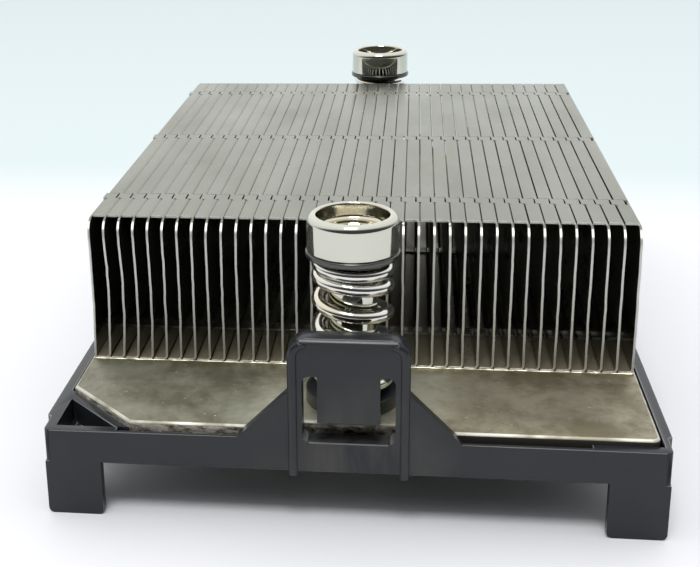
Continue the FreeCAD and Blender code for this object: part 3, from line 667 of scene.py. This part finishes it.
HEAD_PLATING = (0.59, 0.592, 0.515)
DISH_REFLECTION_PALE = (0.66, 0.625, 0.51)        # painted warm reflection in the dished tops
DISH_REFLECTION_BROWN = (0.58, 0.54, 0.42)
SPRING_BRIGHT = (0.70, 0.69, 0.65)
SPRING_STRAW = (0.67, 0.61, 0.47)      # where heat has tinted the wire
WASHER_DARK = (0.10, 0.10, 0.095)

chrome, tree, shader = new_finish("bright_plating", (0.62, 0.61, 0.555), 1.0, 0.07)
touched = cloud(tree, object_place(tree), 300.0, detail=4.0, rough=0.6)
tree.links.new(ramp(tree, touched, [(0.35, 0.05), (0.75, 0.16)]), shader.inputs["Roughness"])
# painted reflection: the dish is coloured warm beige, as if it reflected a warm light
painted_dish_reflection = blend_colour(tree, touched, DISH_REFLECTION_PALE, DISH_REFLECTION_BROWN)
plating_and_dish_reflection = blend_colour(tree, attribute(tree, "dish"), HEAD_PLATING, painted_dish_reflection)
tree.links.new(plating_and_dish_reflection, shader.inputs["Base Color"])
spring_steel, tree, shader = new_finish("spring_steel", (0.70, 0.69, 0.64), 1.0, 0.1)
heat = cloud(tree, object_place(tree), 160.0, detail=3.0, rough=0.5)
drawn_wire = ramp(tree, heat, [(0.45, SPRING_BRIGHT), (0.75, SPRING_STRAW)])
tree.links.new(drawn_wire, shader.inputs["Base Color"])
washer_steel, tree, shader = new_finish("washer_steel", WASHER_DARK, 1.0, 0.25)

TURNED_SIDES = 72


def arc(centre, radius, start, stop, steps):
    """Points of an arc in a turned outline, (distance from the axis, height), angles in degrees."""
    angles = [math.radians(start + (stop - start) * step / steps) for step in range(steps + 1)]
    return [(centre[0] + radius * math.cos(angle), centre[1] + radius * math.sin(angle)) for angle in angles]


def turn_piece(name, place, outline, ring=False):
    """A circle, drawn out and sized point by point along the outline, which closes for a ring."""
    radius, level = outline[0]
    bpy.ops.mesh.primitive_circle_add(vertices=TURNED_SIDES, radius=radius, location=(*place, level),
                                      fill_type="NOTHING" if ring else "NGON")
    piece = bpy.context.object
    piece.name = name
    choose(piece)
    bpy.ops.object.transform_apply(location=True, rotation=True, scale=True)
    bpy.ops.object.mode_set(mode="EDIT")
    bpy.ops.mesh.select_mode(type="EDGE")
    bpy.ops.mesh.select_all(action="SELECT")
    stops = outline[1:] + outline[:1] if ring else outline[1:]
    for next_radius, next_level in stops:
        bpy.ops.mesh.extrude_region_move(TRANSFORM_OT_translate={"value": (0, 0, next_level - level)})
        widen = next_radius / radius
        bpy.ops.transform.resize(value=(widen, widen, 1), center_override=(*place, next_level))
        radius, level = next_radius, next_level
    if not ring:
        bpy.ops.mesh.edge_face_add()
    bpy.ops.mesh.select_all(action="SELECT")
    bpy.ops.mesh.remove_doubles(threshold=0.1 * TINY)
    bpy.ops.mesh.normals_make_consistent(inside=False)
    bpy.ops.object.mode_set(mode="OBJECT")
    return piece


SHANK = 2.85 * MM
SHANK_END = 1.0 * MM                   # full shank below the clip
TIP = 2.4 * MM                         # the threaded tip
TIP_BEVEL = 0.4 * MM
THREAD_START = 1.2 * MM                # below the clip
THREAD_TURNS = 7
THREAD_DEEP = 0.22 * MM
THREAD_FLANK = 0.02 * MM
THREAD_FLOOR = 0.1 * MM
NECK = 2.25 * MM                       # in the clip's groove
HEAD_FOOT = 0.2 * MM                   # rounding of the head's lower edge
HEAD_ROUND = 1.0 * MM                  # rounding of its upper edge
DISH = 4.15 * MM
DISH_DEEP = 1.9 * MM
DISH_LIP = 0.3 * MM                    # rounding round the dish
DISH_DRAFT = 0.2 * MM                  # its wall slopes in by this
DISH_ROUND = 0.5 * MM                  # rounding round its floor
SOCKET = 2.5 * MM
SOCKET_FLOOR = 3.4 * MM                # below the head's top
SOCKET_MOUTH = 0.4 * MM                # its upper end, below the dish's floor
SOCKET_POINT = 0.3 * MM                # the drill's cone in its floor, as wide as deep
RING_DEEP = 0.25 * MM                  # sunk ring round the socket
RING_TOP = 0.7 * MM                    # its outer edge from the socket, at the top
RING_FOOT = 0.6 * MM                   # and at its foot
RING_IN = 0.12 * MM                    # its inner edge from the socket
LOBES = 6
LOBE_DEEP = 0.10                       # of the socket's radius
LOBES_TOP = 0.3 * MM                   # below the dish's floor
REFLECTION_DEEP = 1.0 * MM                # the painted reflection goes this far below the socket's floor
REFLECTION_OUT = 0.1 * MM                 # and this far past the dish


def make_screw(end, place):
    """Turned from the tip up: thread, shank with the clip's groove, head, dish, and the lobed socket."""
    low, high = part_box(f"{end}_screw")
    clip_low, clip_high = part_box(f"{end}_retaining_clip")
    head_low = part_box(f"{end}_washer")[1].z
    head = (high.x - low.x) / 2
    floor, socket_floor = high.z - DISH_DEEP, high.z - SOCKET_FLOOR
    thread_low, thread_top = low.z + TIP_BEVEL, clip_low.z - THREAD_START
    outline = [(TIP - TIP_BEVEL, low.z), (TIP, thread_low)]
    for step in range(THREAD_TURNS):
        level = thread_low + (thread_top - thread_low) * step / THREAD_TURNS
        outline += [(TIP, level + THREAD_FLANK), (TIP - THREAD_DEEP, level + THREAD_FLOOR)]
    outline += [(TIP, thread_top), (SHANK, clip_low.z - SHANK_END), (SHANK, clip_low.z), (NECK, clip_low.z),
                (NECK, clip_high.z), (SHANK, clip_high.z), (SHANK, head_low)]
    outline += arc((head - HEAD_FOOT, head_low + HEAD_FOOT), HEAD_FOOT, -90, 0, 3)
    outline += arc((head - 1.05 * HEAD_ROUND, high.z - 0.95 * HEAD_ROUND), HEAD_ROUND, 0, 58, 6)
    outline += arc((DISH + DISH_LIP, high.z - DISH_LIP), DISH_LIP, 75, 180, 5)
    outline += arc((DISH - DISH_DRAFT - DISH_ROUND, floor + DISH_ROUND), DISH_ROUND, 0, -90, 4)
    outline += [(SOCKET + RING_TOP, floor), (SOCKET + RING_FOOT, floor - RING_DEEP),
                (SOCKET + RING_IN, floor - RING_DEEP), (SOCKET, floor - SOCKET_MOUTH),
                (SOCKET, socket_floor), (SOCKET_POINT, socket_floor - SOCKET_POINT)]
    screw = turn_piece(f"{end}_bright_screw", place, outline)
    for corner in screw.data.vertices:
        p = corner.co
        out = Vector((p.x - place[0], p.y - place[1], 0))
        if socket_floor - TINY < p.z < floor - LOBES_TOP and abs(out.length - SOCKET) < TINY:
            lobe = 1 + LOBE_DEEP * math.cos(LOBES * math.atan2(out.y, out.x))
            p.x, p.y = place[0] + out.x * lobe, place[1] + out.y * lobe
    choose(screw)
    bpy.ops.object.shade_smooth_by_angle(angle=math.radians(38))
    axis = Vector((*place, 0))
    mark_faces(screw, "dish", lambda face: 1.0 if face.center.z > socket_floor - REFLECTION_DEEP
               and (face.center - axis).xy.length < DISH + REFLECTION_OUT else 0.0)
    return screw


WASHER_BORE = 3.0 * MM
WASHER_BEVEL = 0.12 * MM
WASHER_ROUND = 0.05 * MM


def make_washer(end, place):
    low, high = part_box(f"{end}_washer")
    outer = (high.x - low.x) / 2
    flat = outer - WASHER_BEVEL
    outline = [(WASHER_BORE, low.z), (flat, low.z), (outer, low.z + WASHER_BEVEL),
               (outer, high.z - WASHER_BEVEL), (flat, high.z), (WASHER_BORE, high.z)]
    washer = turn_piece(f"{end}_flat_washer", place, outline, ring=True)
    round_edges(washer, WASHER_ROUND, 2, 25)
    return washer


CUP_WALL = 0.5 * MM
CUP_BORE = 3.05 * MM
CUP_LOWER = 0.45 * MM                  # the wall is drawn this much lower than the CAD node's
CUP_ROUND = 0.08 * MM


def make_cup(end, place):
    """A plain cup with a hole in its floor for the shank."""
    low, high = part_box(f"{end}_spring_cup")
    outer = (high.x - low.x) / 2
    inside = outer - CUP_WALL
    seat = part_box(f"{end}_spring")[0].z
    rim = high.z - CUP_LOWER
    outline = [(CUP_BORE, low.z), (outer, low.z), (outer, rim), (inside, rim), (inside, seat),
               (CUP_BORE, seat)]
    cup = turn_piece(f"{end}_black_cup", place, outline, ring=True)
    round_edges(cup, CUP_ROUND, 2, 30)
    return cup


CLIP_ROUND = 0.1 * MM


def make_clip(end, place):
    low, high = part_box(f"{end}_retaining_clip")
    outer = (high.x - low.x) / 2
    outline = [(NECK, low.z), (outer, low.z), (outer, high.z), (NECK, high.z)]
    clip = turn_piece(f"{end}_keeper_ring", place, outline, ring=True)
    round_edges(clip, CLIP_ROUND, 2, 30)
    return clip


WIRE = 0.75 * MM                       # radius
WIRE_SIDES = 20
OPEN_TURNS = 3.4
CLOSED_TURNS = 1.25                    # at each end
TURN_STEPS = 56
CLOSED_PITCH = 2 * WIRE * 1.02
WIRE_END = math.radians(170)           # direction of the wire's upper end from the screw
DRAWN_PITCH = 8 * WIRE                 # as first wound, wide enough to tell the turns apart


def make_spring(end, place):
    """Wound by the screw modifier with a wide even pitch, then closed up at both ends and ground flat."""
    low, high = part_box(f"{end}_spring")
    coil = (high.x - low.x) / 2 - WIRE
    total = OPEN_TURNS + 2 * CLOSED_TURNS
    bpy.ops.mesh.primitive_circle_add(vertices=WIRE_SIDES, radius=WIRE, location=(coil, 0, 0),
                                      rotation=(math.pi / 2, 0, 0))
    spring = bpy.context.object
    spring.name = f"{end}_wound_spring"
    choose(spring)
    bpy.ops.object.transform_apply(location=True, rotation=True, scale=True)
    winding = spring.modifiers.new("winding", "SCREW")
    winding.angle = -2 * math.pi * total
    winding.screw_offset = DRAWN_PITCH * total
    winding.steps = round(TURN_STEPS * total)
    winding.render_steps = winding.steps
    winding.use_merge_vertices = False
    apply_modifiers(spring)
    bpy.ops.object.mode_set(mode="EDIT")
    bpy.ops.mesh.select_mode(type="EDGE")
    bpy.ops.mesh.select_all(action="DESELECT")
    bpy.ops.mesh.select_non_manifold()
    bpy.ops.mesh.edge_face_add()
    bpy.ops.mesh.select_all(action="SELECT")
    bpy.ops.mesh.normals_make_consistent(inside=False)
    bpy.ops.object.mode_set(mode="OBJECT")
    open_pitch = (high.z - low.z - 2 * WIRE - 2 * CLOSED_TURNS * CLOSED_PITCH) / OPEN_TURNS
    swing = WIRE_END + 2 * math.pi * total
    for corner in spring.data.vertices:
        p = corner.co
        drawn = -math.atan2(p.y, p.x) / (2 * math.pi)
        turn = drawn + round(p.z / DRAWN_PITCH - drawn)
        section = p.z - DRAWN_PITCH * turn
        opened = min(max(turn - CLOSED_TURNS, 0), OPEN_TURNS)
        rise = CLOSED_PITCH * (turn - opened) + open_pitch * opened
        angle = swing - 2 * math.pi * turn
        out = math.hypot(p.x, p.y)
        level = low.z + WIRE + rise + section
        p.xyz = (place[0] + out * math.cos(angle), place[1] + out * math.sin(angle),
                 min(max(level, low.z), high.z))
    choose(spring)
    bpy.ops.object.shade_smooth_by_angle(angle=math.radians(50))
    return spring


for end in ("front", "rear"):
    low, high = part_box(f"{end}_screw")
    place = ((low.x + high.x) / 2, (low.y + high.y) / 2)
    settle(make_screw(end, place), f"{end}_fastener", "bright_nickel", chrome, f"{end}_screw")
    settle(make_clip(end, place), f"{end}_fastener", "washer_steel", washer_steel, f"{end}_retaining_clip")
    settle(make_washer(end, place), f"{end}_follower", "washer_steel", washer_steel, f"{end}_washer")
    settle(make_cup(end, place), "heatsink", "black_plastic", plastic, f"{end}_spring_cup")
    spring = make_spring(end, place)
    settle(spring, "heatsink", "spring_steel", spring_steel, f"{end}_spring")
    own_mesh(spring)

# ------------------------------------------------------------------------------------------------ studio
# A pale paper floor that turns cooler behind the part, in soft light from a bright wall behind and a bright
# ceiling. One wide lamp hangs above and in front, and the rest of the room in front is dim.

PAPER_NEAR = (0.80, 0.80, 0.83)
PAPER_BEHIND = (0.62, 0.70, 0.71)
PAPER_FAR = (0.60, 0.68, 0.69)
ROOM_DIM = (0.05, 0.052, 0.055)
ROOM_LOW = (0.075, 0.08, 0.085)
ROOM_BRIGHT = (0.82, 0.84, 0.85)
ROOM_SEEN = (0.66, 0.72, 0.74)         # the plain wall seen behind the part
BRIGHT_SIDE = (-0.15, 0.50, 0.85)      # direction of the brightest part of the room
ROOM_STRENGTH = 1.25

bpy.ops.mesh.primitive_plane_add(size=8, location=(0, 2.5, 0))
floor = bpy.context.object
floor.name = "floor"
choose(floor)
bpy.ops.object.transform_apply(location=True)
paper, tree, shader = new_finish("floor_paper", PAPER_NEAR, 0.0, 0.7)
behind = axis_of(tree, object_place(tree), "Y")
sheet_colour = ramp(tree, behind, [(0.05, PAPER_NEAR), (0.09, PAPER_BEHIND), (0.5, PAPER_FAR)])
tree.links.new(sheet_colour, shader.inputs["Base Color"])
floor.data.materials.append(paper)

world = bpy.data.worlds.new("studio")
bpy.context.scene.world = world
world.use_nodes = True
tree = world.node_tree
surround = tree.nodes["Background"]
source = tree.nodes.new("ShaderNodeTexCoord")
toward = tree.nodes.new("ShaderNodeVectorMath")
toward.operation = "DOT_PRODUCT"
toward.inputs[1].default_value = BRIGHT_SIDE
tree.links.new(source.outputs["Generated"], toward.inputs[0])
room = ramp(tree, toward.outputs["Value"], [(0.0, ROOM_DIM), (0.14, ROOM_LOW), (0.40, ROOM_BRIGHT),
                                            (0.85, WHITE)])
seen = tree.nodes.new("ShaderNodeLightPath")
shown = blend_colour(tree, seen.outputs["Is Camera Ray"], room, ROOM_SEEN)
tree.links.new(shown, surround.inputs["Color"])
surround.inputs["Strength"].default_value = ROOM_STRENGTH

LAMP_PLACE = Vector((-0.05, -0.52, 1.08))
LAMP_WIDE = 0.42
LAMP_DEEP = 0.32
LAMP_POWER = 6.5

lamp_data = bpy.data.lights.new("ceiling_lamp", "AREA")
lamp_data.shape = "RECTANGLE"
lamp_data.size = LAMP_WIDE
lamp_data.size_y = LAMP_DEEP
lamp_data.energy = LAMP_POWER
lamp = bpy.data.objects.new("ceiling_lamp", lamp_data)
bpy.context.scene.collection.objects.link(lamp)
lamp.location = LAMP_PLACE
lamp.rotation_euler = (-LAMP_PLACE).to_track_quat("-Z", "Y").to_euler()

CAMERA_PLACE = (0.00664, -0.18506, 0.07626)
CAMERA_PITCH = 0.3108
CAMERA_TURN = 0.1350
CAMERA_ROLL = -0.0257
CAMERA_SHIFT = (0.14, -0.09)
CAMERA_NEAREST = 0.005
LENS_LENGTH = 63.85                    # mm
FILM_WIDTH = 36                        # mm

lens_data = bpy.data.cameras.new("camera")
camera = bpy.data.objects.new("camera", lens_data)
bpy.context.scene.collection.objects.link(camera)
bpy.context.scene.camera = camera
lens_data.lens = LENS_LENGTH
lens_data.sensor_width = FILM_WIDTH
lens_data.shift_x, lens_data.shift_y = CAMERA_SHIFT
lens_data.clip_start = CAMERA_NEAREST
camera.location = CAMERA_PLACE
heading = Euler((math.pi / 2 - CAMERA_PITCH, 0, CAMERA_TURN)).to_matrix()
camera.rotation_euler = (heading @ Matrix.Rotation(CAMERA_ROLL, 3, "Z")).to_euler()

bpy.context.scene.view_settings.view_transform = "Standard"
